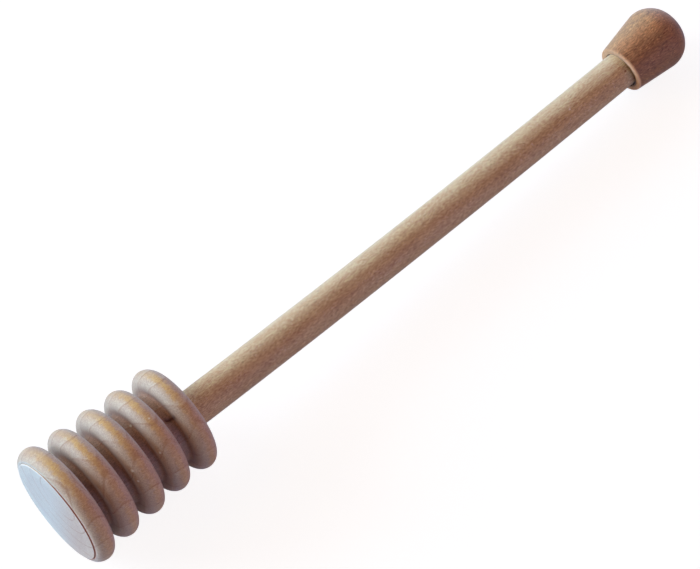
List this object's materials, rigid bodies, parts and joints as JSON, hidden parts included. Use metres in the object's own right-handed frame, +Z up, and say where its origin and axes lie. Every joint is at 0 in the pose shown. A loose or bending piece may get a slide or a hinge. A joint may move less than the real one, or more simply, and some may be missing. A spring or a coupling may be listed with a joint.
{
  "type": "honey dipper",
  "caption": "Wooden honey dipper lying on its side: a head with deep grooves between rounded rings, a slim dowel handle and an egg-shaped end knob.",
  "frame": {"origin": "on the table, under the middle of the lying dipper's bounding box", "axes": "+X along the dipper from the head's flat front face to the end knob, -Y to the side that the dowel, its bow and the knob stray to, +Z up. The dipper lies on its side on z = 0, touching with the first ring and the knob, so its axis falls 2.4 degrees towards the knob"},
  "size_m": [0.1732, 0.027, 0.027],
  "materials": {
    "head_wood": "bare turned beech, fine sanded, no varnish",
    "handle_wood": "bare pale dowel stock, fine sanded",
    "knob_wood": "bare reddish brown wood with open pores along the grain"
  },
  "bodies": {
    "root": {"grooved_head": "head_wood", "handle_dowel": "handle_wood", "end_knob": "knob_wood"}
  },
  "joints": []
}
